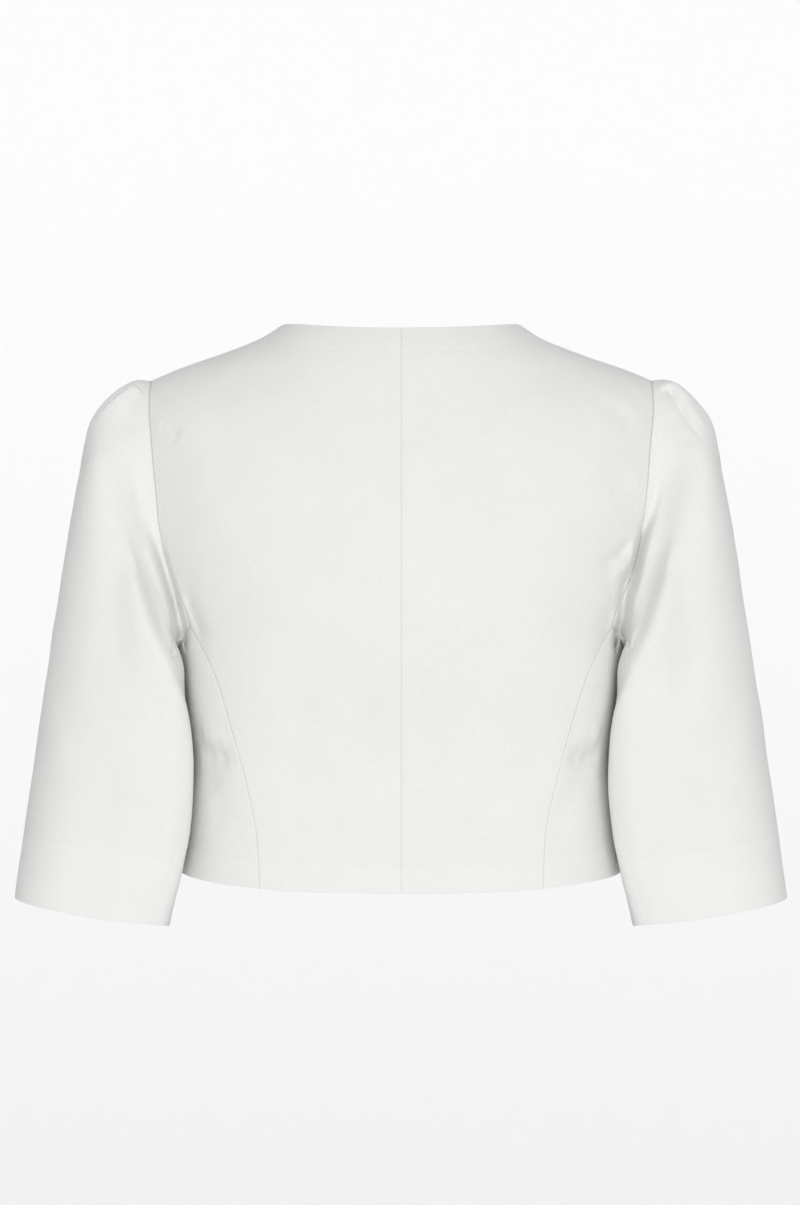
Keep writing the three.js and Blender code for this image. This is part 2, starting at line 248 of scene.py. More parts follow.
def isSeam(edge):
    return len({face.material_index for face in edge.link_faces}) == 2


def slotsWhere(isWanted):
    return {slot for slot, name in enumerate(panelNames) if isWanted(name)}


def slotsOf(part):
    return slotsWhere(lambda name: panels[name]["part"] == part)


def treeOf(spots):
    tree = KDTree(len(spots))
    for k, spot in enumerate(spots):
        tree.insert(spot, k)
    tree.balance()
    return tree


def markSewing(jacket):
    # panel edges and each sleeve's underarm are seams, and the open edges are noted for the hems
    mesh = bmesh.new()
    mesh.from_mesh(jacket.data)
    openEdge = mesh.verts.layers.float.new("openEdge")
    crease = mesh.edges.layers.float.get("crease_edge") or mesh.edges.layers.float.new("crease_edge")
    for edge in mesh.edges:
        edge.seam = isSeam(edge)
        edge[crease] = cloth["seamCrease"] if edge.seam else 0.0
    for vert in mesh.verts:
        vert[openEdge] = 1.0 if vert.is_boundary else 0.0
    # an underarm starts where a sleeve, a front and a side meet, and goes on as straight as it can
    sleeveSlots = slotsOf("sleeve")
    frontSlots = slotsWhere(lambda name: name.startswith("front"))
    sideSlots = slotsWhere(lambda name: name.startswith("sideBack"))
    starts = []
    for vert in mesh.verts:
        slots = {face.material_index for face in vert.link_faces}
        if slots & sleeveSlots and slots & frontSlots and slots & sideSlots:
            starts.append(vert)
    for vert in starts:
        along = None
        while True:
            choices = [
                edge for edge in vert.link_edges
                if not edge.seam and all(face.material_index in sleeveSlots for face in edge.link_faces)
            ]
            if along is None:
                choices.sort(key=lambda edge: (edge.other_vert(vert).co - vert.co).normalized().z)
            else:
                choices.sort(key=lambda edge: -(edge.other_vert(vert).co - vert.co).normalized().dot(along))
            if not choices:
                break
            edge = choices[0]
            nextVert = edge.other_vert(vert)
            along = (nextVert.co - vert.co).normalized()
            edge.seam = True
            vert = nextVert
            if vert.is_boundary:
                break
    mesh.to_mesh(jacket.data)
    mesh.free()
    print("sewing: underarm starts", len(starts))


def flattenPanels(jacket):
    # the cut pieces laid flat give the weave its direction: UV in metres, V along the grain
    selectOnly(jacket)
    bpy.ops.object.mode_set(mode="EDIT")
    bpy.ops.mesh.select_all(action="SELECT")
    bpy.ops.uv.unwrap(method="ANGLE_BASED", margin=cloth["unwrapMargin"])
    bpy.ops.object.mode_set(mode="OBJECT")
    data = jacket.data
    uv = np.empty(len(data.loops) * 2)
    data.uv_layers.active.data.foreach_get("uv", uv)
    uv = uv.reshape(-1, 2)
    data.calc_loop_triangles()
    places = np.array([vert.co for vert in data.vertices])
    triangles = np.array([triangle.loops for triangle in data.loop_triangles])
    vertOf = np.array([loop.vertex_index for loop in data.loops])
    faceSlot = np.array([polygon.material_index for polygon in data.polygons])
    slotOf = faceSlot[[triangle.polygon_index for triangle in data.loop_triangles]]
    loopSlot = np.repeat(faceSlot, [polygon.loop_total for polygon in data.polygons])
    for slot, name in enumerate(panelNames):
        own = triangles[slotOf == slot]
        a, b, c = (places[vertOf[own[:, k]]] for k in range(3))
        p, q, r = (uv[own[:, k]] for k in range(3))
        doubleArea = np.linalg.norm(np.cross(b - a, c - a), axis=1).sum()
        turn = (q - p)[:, 0] * (r - p)[:, 1] - (q - p)[:, 1] * (r - p)[:, 0]
        size = math.sqrt(doubleArea / np.abs(turn).sum())
        # how the height changes over the flat piece gives the direction of the grain
        rise = np.stack([
            ((b - a)[:, 2] * (r - p)[:, 1] - (c - a)[:, 2] * (q - p)[:, 1]),
            ((c - a)[:, 2] * (q - p)[:, 0] - (b - a)[:, 2] * (r - p)[:, 0]),
        ], axis=1).sum(0) * np.sign(turn.sum())
        lean = math.atan2(rise[0], rise[1])
        turned = np.array([[math.cos(lean), math.sin(lean)], [-math.sin(lean), math.cos(lean)]]) * size
        mine = loopSlot == slot
        flat = uv[mine] @ turned
        flat -= flat.min(0)
        uv[mine] = flat
        width, length = flat.max(0)
        panels[name]["flat"] = (width, length)
        panels[name]["area"] = doubleArea / 2
        print(f"flat {name}: {width:.3f} x {length:.3f} m, {doubleArea / 2:.4f} m2")
    data.uv_layers.active.data.foreach_set("uv", uv.ravel())


def easeArmholes(jacket):
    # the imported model's broad trough behind the armhole is evened out, as the deep folds take its place
    sleeveSlots = slotsOf("sleeve")
    selectOnly(jacket)
    bpy.ops.object.mode_set(mode="EDIT")
    bpy.ops.mesh.select_mode(type="VERT")
    bpy.ops.mesh.select_all(action="DESELECT")
    mesh = bmesh.from_edit_mesh(jacket.data)
    tree = treeOf([vert.co for vert in mesh.verts if any(edge.seam for edge in vert.link_edges)])
    settings = cloth["armholeEase"]
    for vert in mesh.verts:
        own = all(face.material_index in sleeveSlots for face in vert.link_faces)
        high = settings["from"] > vert.co.z > settings["to"]
        near = settings["sewn"] < tree.find(vert.co)[2] < settings["reach"]
        vert.select_set(own and high and near and vert.co.y > settings["behind"])
    bmesh.update_edit_mesh(jacket.data)
    bpy.ops.mesh.vertices_smooth(factor=settings["factor"], repeat=settings["passes"])
    bpy.ops.object.mode_set(mode="OBJECT")


def smoothCloth(jacket):
    selectOnly(jacket)
    rounding = jacket.modifiers.new("rounding", "SUBSURF")
    rounding.levels = cloth["smoothing"]
    rounding.render_levels = cloth["smoothing"]
    rounding.boundary_smooth = "PRESERVE_CORNERS"
    bpy.ops.object.modifier_apply(modifier=rounding.name)


jacket = weldSkins()
markSewing(jacket)
flattenPanels(jacket)
easeArmholes(jacket)
smoothCloth(jacket)
print("cloth:", len(jacket.data.vertices), "points in the welded skin")

# Creases. Points are millimetres across and up, seen from behind or from the front, or millimetres back and
# up, seen from outside. They are for the wearer's left side, and "both" repeats them on the right. A trough
# has a negative height, in millimetres too. Where a crease runs downwards, width is on its outer side behind,
# on its inner side in front and on its front side outside, and otherWidth is on the other.

creaseSettings = {
    "fades": (0.3, 0.35),  # shares of a crease over which it begins and ends
    "pathPoints": 48,
    "pathSteps": 16,  # between two given points, before the path is divided evenly
    "unevenness": ((0.18, 9.1, 1.0), (0.1, 21.7, 2.3)),  # share of the height, waves, share of the phase
    "rightPhase": 1.7,  # so that the right crease isn't the left one's mirror image
    "castFrom": 0.6,  # metres, outside the jacket
    "castNearly": 0.55,  # how far a ray that misses goes before it takes the nearest cloth
    "undulation": (0.35, 0.21, 0.105),  # millimetres, from the slowest to the quickest
}
creaseColumns = ("part", "side", "seenFrom", "points", "height", "width", "otherWidth")
creases = {
    # body, from behind
    "right shoulder drag": ("body", "right", "back", [(141, -59), (156, -67), (174, -80)], -1.3, 8, 10),
    "right armhole dimple": ("body", "right", "back", [(170, -115), (160, -121), (146, -128)], -1.1, 8, 9),
    "left armhole dimple": ("body", "left", "back", [(177, -77), (168, -81), (158, -87)], -1.0, 7, 8),
    "waist crease": ("body", "both", "back", [(146, -317), (132, -318), (118, -314)], -2.4, 6, 9),
    "waist fullness": ("body", "both", "back", [(146, -300), (136, -302), (124, -300)], 1.4, 8, 8),
    "right hip drag": ("body", "right", "back", [(140, -313), (124, -345), (106, -383)], -1.5, 10, 13),
    "left hip drag": ("body", "left", "back", [(142, -322), (134, -345), (128, -372)], -1.2, 9, 12),
    "back waist ease": ("body", "both", "back", [(14, -268), (46, -286), (96, -296)], -0.9, 16, 20),
    # sleeves, from behind
    "second sleeve ridge": (
        "sleeve", "both", "back", [(203, -104), (201, -145), (196, -190), (188, -226)], 0.9, 9, 9,
    ),
    "left crown pleat": (
        "sleeve", "left", "back", [(184, -44), (196, -47), (205, -53), (215, -62), (226, -75)], 2.0, 1.1, 10,
    ),
    "right crown pleat": (
        "sleeve", "right", "back", [(182, -42), (196, -48), (204, -58), (211, -72), (222, -88)], -2.6, 1.0, 5,
    ),
    "right crown fold edge": (
        "sleeve", "right", "back", [(188, -40), (200, -45), (209, -56), (216, -70), (226, -84)], 1.4, 6, 2.5,
    ),
    "crown hollow": ("sleeve", "both", "back", [(192, -66), (204, -80), (214, -98)], -1.1, 9, 9),
    "inner sleeve edge": (
        "sleeve", "both", "back", [(165, -236), (163, -290), (166, -350), (176, -428)], 3.0, 10, 14,
    ),
    "left sleeve ease": ("sleeve", "left", "back", [(206, -210), (196, -260), (178, -300)], -1.4, 10, 16),
    "right sleeve ease": ("sleeve", "right", "back", [(210, -224), (200, -280), (186, -320)], -1.4, 10, 16),
    "left sleeve drag": ("sleeve", "left", "back", [(250, -236), (236, -300), (214, -350)], -1.1, 14, 18),
    "right sleeve drag": ("sleeve", "right", "back", [(246, -262), (230, -318), (212, -372)], -1.1, 14, 18),
    # hidden sides, alike in kind
    "front armhole fold": ("body", "both", "front", [(165, -150), (152, -172), (134, -196)], -2.0, 5, 8),
    "front armhole fold edge": ("body", "both", "front", [(160, -166), (146, -190), (130, -214)], 1.5, 6, 6),
    "bust ease": ("body", "both", "front", [(158, -222), (132, -238), (98, -246)], -1.5, 9, 14),
    "front waist crease": ("body", "both", "front", [(146, -320), (126, -326), (96, -322)], -2.0, 7, 12),
    "front waist fullness": ("body", "both", "front", [(142, -302), (120, -305), (92, -300)], 1.3, 9, 12),
    "left front drag": ("body", "left", "front", [(110, -330), (84, -360), (60, -392)], -1.3, 10, 14),
    "right front drag": ("body", "right", "front", [(104, -338), (88, -368), (72, -396)], -1.2, 10, 14),
    "front neck ease": ("body", "both", "front", [(92, -60), (74, -96), (50, -130)], -1.0, 12, 16),
    "front sleeve trough": (
        "sleeve", "both", "front", [(188, -120), (183, -152), (176, -188), (166, -222)], -3.0, 5, 8,
    ),
    "front sleeve ridge": (
        "sleeve", "both", "front", [(200, -112), (197, -152), (190, -196), (180, -236)], 2.0, 8, 10,
    ),
    "front sleeve ease": ("sleeve", "both", "front", [(232, -230), (210, -268), (184, -300)], -1.8, 9, 14),
    "front elbow crease": ("sleeve", "both", "front", [(220, -276), (200, -300), (176, -316)], -2.2, 6, 10),
    "outer sleeve drag": ("sleeve", "both", "outside", [(-20, -150), (-8, -220), (12, -300)], -1.2, 14, 18),
    "outer sleeve ease": ("sleeve", "both", "outside", [(28, -190), (22, -260), (6, -330)], 1.2, 14, 16),
}

# Deep folds at the back of the armholes and on the outer sleeves, moved straight along the eye's line,
# through body and sleeve alike, so that they stay where the photo has them. They go from one height to the
# other along their points, and fades are the shares over which they begin and end.

deepColumns = ("side", "points", "heights", "width", "otherWidth", "fades")
deepFolds = {
    "left sleeve edge": (
        "left", [(190, -118), (187, -140), (181, -162), (175, -184), (169, -206), (165, -230), (163, -254)],
        (2.0, 12.0), 13, 3.4, (0.35, 0.25),
    ),
    "right sleeve edge": (
        "right", [(190, -118), (186, -140), (180, -162), (175, -184), (169, -206), (165, -230), (163, -254)],
        (3.0, 12.0), 13, 3.4, (0.35, 0.25),
    ),
    "left armhole hollow": (
        "left", [(192, -104), (190, -126), (184, -150), (175, -174), (169, -196)],
        (-2.2, -3.0), 5, 5, (0.3, 0.3),
    ),
    "left armhole valley": (
        "left", [(187, -143), (181, -156), (173, -178), (166, -201), (161, -222), (158, -240)],
        (-2.0, -16.0), 3.4, 4.4, (0.25, 0.05),
    ),
    "right armhole hollow": (
        "right", [(186, -104), (186, -126), (178, -150), (171, -174), (166, -196)],
        (-3.0, -3.0), 4, 4, (0.3, 0.3),
    ),
    "right armhole valley": (
        "right", [(183, -136), (176, -153), (169, -180), (163, -204), (160, -222), (157, -240)],
        (-3.0, -16.0), 3.4, 4.4, (0.25, 0.05),
    ),
    "left body fold edge": ("left", [(163, -192), (158, -208), (150, -234)], (1.8, 1.8), 4, 6, (0.3, 0.4)),
    "left body fold": ("left", [(155, -196), (151, -212), (142, -234)], (-1.8, -1.8), 4, 7, (0.3, 0.4)),
    "right body crease": ("right", [(138, -178), (152, -174), (168, -160)], (-3.0, -4.4), 4, 6, (0.4, 0.2)),
    "right body lit fold": ("right", [(148, -190), (160, -180), (171, -167)], (3.0, 4.2), 4, 5, (0.4, 0.2)),
    "right body pocket": (
        "right", [(167, -178), (161, -195), (157, -209)], (-6.0, -5.0), 3.5, 4.5, (0.3, 0.3),
    ),
    "right body bulge": ("right", [(160, -208), (156, -218), (152, -234)], (3.6, 2.6), 5, 6, (0.3, 0.4)),
    "outer roll": ("both", [(230, -84), (240, -128), (248, -180)], (-8.0, -5.0), 16, 16, (0.3, 0.4)),
}


def partVertices(jacket, part):
    used = np.zeros(len(jacket.data.vertices), bool)
    slots = slotsOf(part)
    for polygon in jacket.data.polygons:
        if polygon.material_index in slots:
            used[list(polygon.vertices)] = True
    return used


def clothTree(jacket, slots):
    faces = [list(polygon.vertices) for polygon in jacket.data.polygons if polygon.material_index in slots]
    return BVHTree.FromPolygons([vert.co for vert in jacket.data.vertices], faces)


def layOnCloth(tree, seenFrom, across, up, side):
    across, up, away = across * mm, up * mm, creaseSettings["castFrom"]
    if seenFrom == "outside":
        start, direction = Vector((side * away, across, up)), Vector((-side, 0.0, 0.0))
    else:
        toward = -1.0 if seenFrom == "back" else 1.0
        start, direction = Vector((side * across, -toward * away, up)), Vector((0.0, toward, 0.0))
    hit = tree.ray_cast(start, direction)[0]
    if hit is None:
        hit = tree.find_nearest(start + direction * creaseSettings["castNearly"])[0]
    return np.array(hit)


def sidesOf(fold):
    # the sides it is on, each with its widths in metres, which swap on the right
    for side, word in ((1, "left"), (-1, "right")):
        if fold["side"] in (word, "both"):
            yield side, [fold["width"] * mm, fold["otherWidth"] * mm][::side]


def smoothPath(points):
    # a soft curve through the points, evenly divided
    padded = np.array([2 * points[0] - points[1], *points, 2 * points[-1] - points[-2]])
    path = []
    for k in range(1, len(padded) - 2):
        a, b, c, d = padded[k - 1:k + 3]
        for t in np.linspace(0, 1, creaseSettings["pathSteps"], endpoint=False):
            bend = (2 * a - 5 * b + 4 * c - d) * t * t + (3 * b - a - 3 * c + d) * t ** 3
            path.append(0.5 * (2 * b + (c - a) * t + bend))
    path = np.array([*path, padded[-2]])
    reach = np.concatenate([[0], np.cumsum(np.linalg.norm(np.diff(path, axis=0), axis=1))])
    even = np.linspace(0, reach[-1], creaseSettings["pathPoints"])
    return np.stack([np.interp(even, reach, path[:, k]) for k in range(3)], axis=1)


def easeIn(values):
    values = np.clip(values, 0, 1)
    return values * values * (3 - 2 * values)


def creaseRise(places, normals, path, heights, widths, phase, fades):
    reach = 3 * max(widths)  # there is nothing left of the crease farther away
    low, high = path.min(0) - reach, path.max(0) + reach
    near = np.flatnonzero(np.all((places > low) & (places < high), axis=1))
    rise = np.zeros(len(places))
    if not len(near):
        return rise
    tangents = np.gradient(path, axis=0)
    tangents /= np.linalg.norm(tangents, axis=1)[:, None]
    step = places[near][:, None, :] - path[None, :, :]
    squared = (step ** 2).sum(-1)
    nearest = squared.argmin(1)
    rows = np.arange(len(near))
    offset = step[rows, nearest]
    distance = np.sqrt(squared[rows, nearest])
    sideways = (np.cross(tangents[nearest], normals[near]) * offset).sum(1)
    spread = np.where(sideways > 0, *widths)
    along = nearest / (len(path) - 1)
    fade = easeIn(along / fades[0]) * easeIn((1 - along) / fades[1])
    uneven = 1 + sum(
        share * np.sin(waves * along + shift * phase) for share, waves, shift in creaseSettings["unevenness"]
    )
    height = heights[0] + (heights[1] - heights[0]) * along
    rise[near] = height * fade * uneven * np.exp(-(distance / spread) ** 2)
    return rise


def layDeepFolds(jacket):
    data = jacket.data
    places = np.array([vert.co for vert in data.vertices])
    facing = np.tile((0.0, 1.0, 0.0), (len(places), 1))
    rise = np.zeros(len(places))
    tree = clothTree(jacket, range(len(panelNames)))
    seams = {vert for edge in data.edges if edge.use_seam for vert in edge.vertices}
    seamTree = treeOf([data.vertices[vert].co for vert in seams])
    distances = np.array([seamTree.find(vert.co)[2] for vert in data.vertices])
    nearSeams = easeIn((cloth["valleyReach"] - distances) / (cloth["valleyReach"] / 2))
    for phase, (name, row) in enumerate(deepFolds.items()):
        fold = dict(zip(deepColumns, row))
        heights = [height * mm for height in fold["heights"]]
        for side, widths in sidesOf(fold):
            path = smoothPath([layOnCloth(tree, "back", x, z, side) for x, z in fold["points"]])
            lift = creaseRise(places, facing, path, heights, widths, phase, fold["fades"])
            if "valley" in name:
                lift *= nearSeams  # it stays beside the seam, so the sleeve's own edge keeps its line
            rise += lift
    places += facing * rise[:, None]
    data.vertices.foreach_set("co", places.ravel())
    data.update()


def layCreases(jacket):
    data = jacket.data
    places = np.array([vert.co for vert in data.vertices])
    normals = np.array([normal.vector for normal in data.vertex_normals])
    rise = np.zeros(len(places))
    for part in ("body", "sleeve"):
        tree = clothTree(jacket, slotsOf(part))
        mine = partVertices(jacket, part)
        for phase, row in enumerate(creases.values()):
            crease = dict(zip(creaseColumns, row))
            if crease["part"] != part:
                continue
            heights = [crease["height"] * mm] * 2
            for side, widths in sidesOf(crease):
                points = [layOnCloth(tree, crease["seenFrom"], *point, side) for point in crease["points"]]
                shift = phase + (side < 0) * creaseSettings["rightPhase"]
                rise += mine * creaseRise(
                    places, normals, smoothPath(points), heights, widths, shift, creaseSettings["fades"]
                )
    return places + normals * rise[:, None]


def undulation(places):
    # slow unevenness of a soft cloth over a figure
    x, y, z = (places[:, k] / mm for k in range(3))
    waves = (
        np.sin(x / 31 + 1.3) * np.sin(z / 43 + 0.4 + y / 60),
        np.sin(x / 17 - z / 29 + 2.1) * np.sin(z / 23 + y / 37),
        np.sin(x / 9.5 + z / 14 + 0.7) * np.sin(z / 12 - x / 19),
    )
    return sum(height * wave for height, wave in zip(creaseSettings["undulation"], waves)) * mm


def shapeCloth(jacket):
    data = jacket.data
    moved = layCreases(jacket)
    normals = np.array([normal.vector for normal in data.vertex_normals])
    moved += normals * undulation(moved)[:, None]
    seamVerts = {vert for edge in data.edges if edge.use_seam for vert in edge.vertices}
    sink = np.zeros(len(moved))
    sink[list(seamVerts)] = cloth["seamSink"]
    moved -= normals * sink[:, None]
    data.vertices.foreach_set("co", moved.ravel())
    data.update()


layDeepFolds(jacket)
shapeCloth(jacket)
print("creases:", len(creases) + len(deepFolds), "rows")

# Pieces: the welded skin is cut apart again along its seams, and each piece gets its thickness


def cutApart(jacket):
    pieces = {}
    for slot, name in enumerate(panelNames):
        selectOnly(jacket)
        bpy.ops.object.mode_set(mode="EDIT")
        bpy.ops.mesh.select_mode(type="FACE")
        bpy.ops.mesh.select_all(action="DESELECT")
        mesh = bmesh.from_edit_mesh(jacket.data)
        for face in mesh.faces:
            face.select = face.material_index == slot
        bmesh.update_edit_mesh(jacket.data)
        if slot < len(panelNames) - 1:
            bpy.ops.mesh.separate(type="SELECTED")
        bpy.ops.object.mode_set(mode="OBJECT")
        cut = [piece for piece in bpy.context.selected_objects if piece != jacket]
        pieces[name] = cut[0] if cut else jacket
        pieces[name].name = name
        pieces[name].data.name = name
    return pieces


seamLooks = {
    "armhole": 1.0,
    "princess": 0.55,
    "centreBack": 0.42,
    "centreBackHem": 0.2,
    "hemFrom": -360,  # millimetres up
    "centreReach": 3,  # millimetres across
    "armholeReach": 2.5 * mm,
    "spotShares": (0.0, 0.25, 0.5, 0.75),  # where along a boundary edge its spots are
    "farAway": 0.1,  # metres, for a point that has no seam or hem near
}


def seamStrength(place, part):
    # how deep a seam looks, which scales both its bump furrow and the painted shade along it: the armholes
    # most, the centre back least, where it also fades towards the hem
    if part == "sleeve":
        return seamLooks["armhole"]
    if abs(place.x / mm) < seamLooks["centreReach"]:
        return seamLooks["centreBack" if place.z / mm > seamLooks["hemFrom"] else "centreBackHem"]
    if armholeTree.find(place)[2] < seamLooks["armholeReach"]:
        return seamLooks["armhole"]
    return seamLooks["princess"]


def edgeDistances(piece, part):
    # how far each point is from the piece's seams, and from its hems
    data = piece.data
    mesh = bmesh.new()
    mesh.from_mesh(data)
    openEdge = mesh.verts.layers.float.get("openEdge")
    seams, hems = [], []
    for edge in mesh.edges:
        if not edge.is_boundary:
            continue
        a, b = edge.verts
        isOpen = min(a[openEdge], b[openEdge]) > 0.99
        spots = [a.co.lerp(b.co, share) for share in seamLooks["spotShares"]]
        (hems if isOpen else seams).extend(spots)
    mesh.free()
    strengths = [seamStrength(spot, part) for spot in seams]
    tree = treeOf(seams)
    values = [strengths[tree.find(vert.co)[1]] for vert in data.vertices]
    data.attributes.new("seamStrength", "FLOAT", "POINT").data.foreach_set("value", values)
    farAway = seamLooks["farAway"]
    for name, spots in (("seamDistance", seams), ("hemDistance", hems)):
        tree = treeOf(spots)
        values = [min(tree.find(vert.co)[2], farAway) if spots else farAway for vert in data.vertices]
        data.attributes.new(name, "FLOAT", "POINT").data.foreach_set("value", values)


def giveThickness(piece, hemDepth):
    selectOnly(piece)
    group = piece.vertex_groups.new(name="turnedEdge")
    values = piece.data.attributes["hemDistance"].data
    for k, value in enumerate(values):
        group.add([k], 1.0 if value.value < hemDepth else 0.0, "REPLACE")
    wall = piece.modifiers.new("wall", "SOLIDIFY")
    wall.thickness = cloth["hemThickness"]
    wall.thickness_vertex_group = cloth["thickness"] / cloth["hemThickness"]
    wall.vertex_group = group.name
    wall.offset = -1.0
    bpy.ops.object.modifier_apply(modifier=wall.name)
    rounding = piece.modifiers.new("edges", "BEVEL")
    rounding.width = cloth["edgeRounding"]
    rounding.segments = 2
    rounding.limit_method = "ANGLE"
    rounding.angle_limit = math.radians(cloth["edgeAngle"])
    bpy.ops.object.modifier_apply(modifier=rounding.name)
    piece.vertex_groups.clear()
    bpy.ops.object.shade_smooth_by_angle(angle=math.radians(cloth["shadeAngle"]))


def findArmholes(pieces):
    spots = []
    for name, piece in pieces.items():
        if panels[name]["part"] != "sleeve":
            continue
        mesh = bmesh.new()
        mesh.from_mesh(piece.data)
        openEdge = mesh.verts.layers.float.get("openEdge")
        spots.extend(vert.co.copy() for vert in mesh.verts if vert.is_boundary and vert[openEdge] < 0.5)
        mesh.free()
    return treeOf(spots)


pieces = cutApart(jacket)
armholeTree = findArmholes(pieces)
for name, piece in pieces.items():
    part = panels[name]["part"]
    edgeDistances(piece, part)
    giveThickness(piece, cloth["cuffDepth" if part == "sleeve" else "hemDepth"])
    piece.data.calc_loop_triangles()
    print("piece", name, len(piece.data.loop_triangles), "triangles")

# Crepe

crepe = {
    "colour": (0.80, 0.80, 0.785, 1.0),
    "roughness": (0.9, 0.78),  # in the hollows and on the pebbles
    "sheen": 0.12,
    "sheenRoughness": 0.5,
    "specular": 0.25,
    "pebble": 1.5,  # sizes and heights in millimetres
    "slub": (7.0, 1.1),
    "thread": 0.55,
    "cloud": 38.0,
    "pebbleHeight": 0.20,
    "slubHeight": 0.13,
    "threadHeight": 0.04,
    "seamFurrow": -0.34,
    "furrowWidth": 1.3 * mm,
    "allowanceHeight": 0.10,
    "allowanceEdge": (10 * mm, 12.5 * mm),
    "hemHeight": 0.22,
    "hemSoftness": 1.5 * mm,
    "slubShade": 0.012,  # shades are shares of the colour
    "cloudShade": 0.008,
    "pebbleShade": (-0.012, 0.008),
    # painted shade along the seams, standing in for the shadow in their furrow
    "seamPaintedShade": -0.05,
    "seamPaintedShadeWidth": 0.9 * mm,
    "hemShade": 0.014,
    "hemShadeSoftness": 1 * mm,
}


def addNode(tree, kind, place, values=None, **settings):
    node = tree.nodes.new(kind)
    node.location = place
    for key, value in settings.items():
        setattr(node, key, value)
    for key, value in (values or {}).items():
        node.inputs[key].default_value = value
    return node


def joinNodes(tree, *pairs):
    for output, entry in pairs:
        tree.links.new(output, entry)


def makeWeaveGroup():
    # crepe: short slubs and pebbled threads, with a bump in millimetres
    tree = bpy.data.node_groups.new("crepeWeave", "ShaderNodeTree")
    face = tree.interface
    face.new_socket("Flat", in_out="INPUT", socket_type="NodeSocketVector")
    for name, value in (
        ("Seam Distance", 0.1), ("Seam Strength", 1.0), ("Hem Distance", 0.1), ("Hem Depth", 0.02),
    ):
        face.new_socket(name, in_out="INPUT", socket_type="NodeSocketFloat").default_value = value
    face.new_socket("Cloth", in_out="INPUT", socket_type="NodeSocketColor").default_value = crepe["colour"]
    face.new_socket("Colour", in_out="OUTPUT", socket_type="NodeSocketColor")
    face.new_socket("Roughness", in_out="OUTPUT", socket_type="NodeSocketFloat")
    face.new_socket("Normal", in_out="OUTPUT", socket_type="NodeSocketVector")
    entry = addNode(tree, "NodeGroupInput", (-1400, 0))
    result = addNode(tree, "NodeGroupOutput", (1200, 0))

    toMillimetres = addNode(tree, "ShaderNodeVectorMath", (-1200, 200), operation="SCALE")
    toMillimetres.inputs["Scale"].default_value = 1000.0
    pebbles = addNode(tree, "ShaderNodeTexNoise", (-800, 400), {
        "Scale": 1 / crepe["pebble"], "Detail": 2.0, "Roughness": 0.6, "Distortion": 0.6,
    })
    stretch = addNode(tree, "ShaderNodeMapping", (-1000, 150), {
        "Scale": (1 / crepe["slub"][0], 1 / crepe["slub"][1], 1.0),
    })
    slubs = addNode(tree, "ShaderNodeTexNoise", (-800, 150), {"Scale": 1.0, "Detail": 3.0, "Roughness": 0.55})
    threads, crossThreads = (
        addNode(tree, "ShaderNodeTexWave", place, {
            "Scale": 2 / (crepe["thread"] * 6.283), "Distortion": 2.5, "Detail": 1.0, "Detail Scale": 1.5,
        }, wave_type="BANDS", bands_direction=direction)
        for direction, place in (("Y", (-800, -100)), ("X", (-800, -400)))
    )
    clouds = addNode(tree, "ShaderNodeTexNoise", (-800, -700), {"Scale": 1 / crepe["cloud"], "Detail": 2.0})
    flat = toMillimetres.outputs[0]
    joinNodes(
        tree,
        (entry.outputs["Flat"], toMillimetres.inputs[0]),
        (stretch.outputs["Vector"], slubs.inputs["Vector"]),
        *((flat, node.inputs["Vector"]) for node in (pebbles, stretch, threads, crossThreads, clouds)),
    )

    def combine(operation, a, b, place):
        # b is a number or another node's output
        node = addNode(tree, "ShaderNodeMath", place, operation=operation)
        tree.links.new(a, node.inputs[0])
        if isinstance(b, float):
            node.inputs[1].default_value = b
        else:
            tree.links.new(b, node.inputs[1])
        return node.outputs[0]

    def times(a, b, place):
        return combine("MULTIPLY", a, b, place)

    def plus(a, b, place):
        return combine("ADD", a, b, place)

    def mapped(value, span, onto, place):
        node = addNode(tree, "ShaderNodeMapRange", place, {
            "From Min": span[0], "From Max": span[1], "To Min": onto[0], "To Max": onto[1],
        }, interpolation_type="SMOOTHSTEP")
        tree.links.new(value, node.inputs["Value"])
        return node.outputs[0]

    seamDistance, strength = entry.outputs["Seam Distance"], entry.outputs["Seam Strength"]
    grains, ribs, patches = (node.outputs["Fac"] for node in (pebbles, slubs, clouds))
    weaveHeight = plus(
        plus(times(grains, crepe["pebbleHeight"], (-550, 400)),
             times(ribs, crepe["slubHeight"], (-550, 200)), (-350, 300)),
        plus(times(threads.outputs["Fac"], crepe["threadHeight"], (-550, -100)),
             times(crossThreads.outputs["Fac"], crepe["threadHeight"], (-550, -300)), (-350, -200)),
        (-150, 100),
    )
    # the seam: a narrow furrow, and the pressed edge of its allowance on either side
    furrow = mapped(seamDistance, (0.0, crepe["furrowWidth"]), (crepe["seamFurrow"], 0.0), (-550, -550))
    furrow = times(furrow, strength, (-350, -550))
    allowance = mapped(seamDistance, crepe["allowanceEdge"], (crepe["allowanceHeight"], 0.0), (-350, -800))
    # the hem: a turned edge, whose upper end shows as a faint step
    inside = combine("SUBTRACT", entry.outputs["Hem Distance"], entry.outputs["Hem Depth"], (-600, -1000))
    soft = crepe["hemSoftness"]
    step = mapped(inside, (-soft, soft), (crepe["hemHeight"], 0.0), (-350, -1000))
    height = plus(plus(weaveHeight, furrow, (250, 0)), plus(allowance, step, (50, -900)), (450, 0))
    bump = addNode(tree, "ShaderNodeBump", (700, -100), {"Strength": 1.0, "Distance": 1.0 * mm})
    joinNodes(tree, (height, bump.inputs["Height"]), (bump.outputs["Normal"], result.inputs["Normal"]))
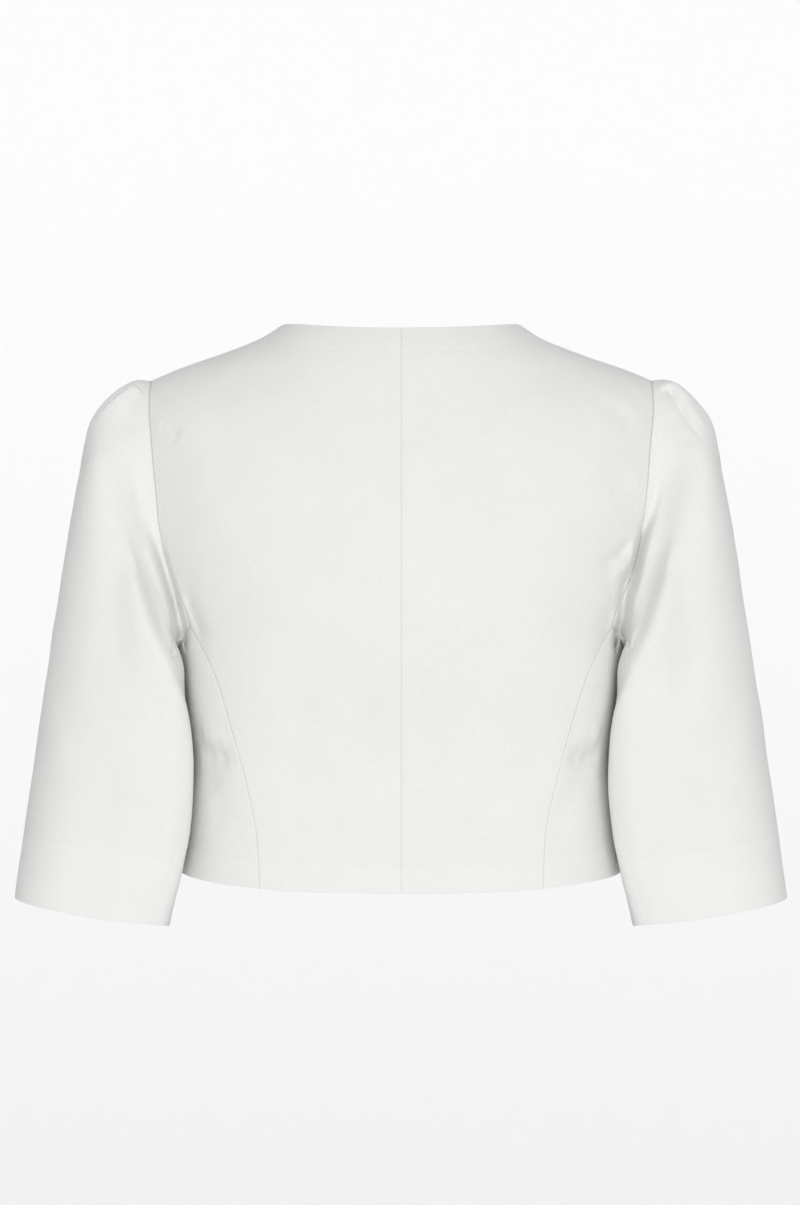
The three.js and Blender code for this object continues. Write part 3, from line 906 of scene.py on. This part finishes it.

    # colour: slubs and hollows vary a little, seams get a painted shade along their furrow, doubled hems
    # lighter
    slubShade, cloudShade, hemSoft = crepe["slubShade"], crepe["cloudShade"], crepe["hemShadeSoftness"]
    shade = plus(
        mapped(ribs, (0.3, 0.7), (-slubShade, slubShade), (250, 500)),
        mapped(patches, (0.3, 0.7), (-cloudShade, cloudShade), (250, 700)),
        (450, 600),
    )
    shade = plus(shade, mapped(grains, (0.25, 0.7), crepe["pebbleShade"], (250, 900)), (600, 600))
    # painted shade: the cloth colour is darkened along each seam's furrow, more for stronger seams
    seamPaintedShade = mapped(seamDistance, (0.0, crepe["seamPaintedShadeWidth"]), (crepe["seamPaintedShade"], 0.0), (50, 1100))
    shade = plus(shade, times(seamPaintedShade, strength, (250, 1100)), (600, 800))
    hemShade = mapped(inside, (-hemSoft, hemSoft), (crepe["hemShade"], 0.0), (250, 1300))
    shade = plus(shade, hemShade, (600, 1000))
    brightness = plus(shade, 1.0, (750, 600))
    tinted = addNode(tree, "ShaderNodeVectorMath", (900, 500), operation="SCALE")
    joinNodes(
        tree,
        (entry.outputs["Cloth"], tinted.inputs[0]),
        (brightness, tinted.inputs["Scale"]),
        (tinted.outputs[0], result.inputs["Colour"]),
    )
    rough = mapped(grains, (0.3, 0.7), crepe["roughness"], (750, 200))
    tree.links.new(rough, result.inputs["Roughness"])
    return tree


def makeCrepe(name, group, hemDepth):
    material = bpy.data.materials.new(name)
    material.use_nodes = True
    tree = material.node_tree
    shader = tree.nodes["Principled BSDF"]
    shader.inputs["Specular IOR Level"].default_value = crepe["specular"]
    shader.inputs["Sheen Weight"].default_value = crepe["sheen"]
    shader.inputs["Sheen Roughness"].default_value = crepe["sheenRoughness"]
    weave = addNode(tree, "ShaderNodeGroup", (-300, 200), node_tree=group)
    weave.inputs["Hem Depth"].default_value = hemDepth
    weave.inputs["Cloth"].default_value = crepe["colour"]
    flat = addNode(tree, "ShaderNodeUVMap", (-600, 300))
    for k, (attribute, entry) in enumerate((
        ("seamDistance", "Seam Distance"), ("hemDistance", "Hem Distance"), ("seamStrength", "Seam Strength"),
    )):
        node = addNode(tree, "ShaderNodeAttribute", (-600, 100 - 200 * k), attribute_name=attribute)
        tree.links.new(node.outputs["Fac"], weave.inputs[entry])
    joinNodes(
        tree,
        (flat.outputs["UV"], weave.inputs["Flat"]),
        (weave.outputs["Colour"], shader.inputs["Base Color"]),
        (weave.outputs["Roughness"], shader.inputs["Roughness"]),
        (weave.outputs["Normal"], shader.inputs["Normal"]),
    )
    return material


weaveGroup = makeWeaveGroup()
bodyCrepe = makeCrepe("bodyCrepe", weaveGroup, cloth["hemDepth"])
sleeveCrepe = makeCrepe("sleeveCrepe", weaveGroup, cloth["cuffDepth"])

for name, piece in pieces.items():
    piece.data.materials.clear()
    piece.data.materials.append(sleeveCrepe if panels[name]["part"] == "sleeve" else bodyCrepe)
    piece.data.polygons.foreach_set("material_index", np.zeros(len(piece.data.polygons), np.int32))
    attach(piece, "root")
    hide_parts(panels[name]["node"])
    width, length = panels[name]["flat"]
for name in panelNames:
    placeholder = bpy.data.materials.get(name)
    if placeholder:
        bpy.data.materials.remove(placeholder)
print("materials: crepe on", len(pieces), "pieces")
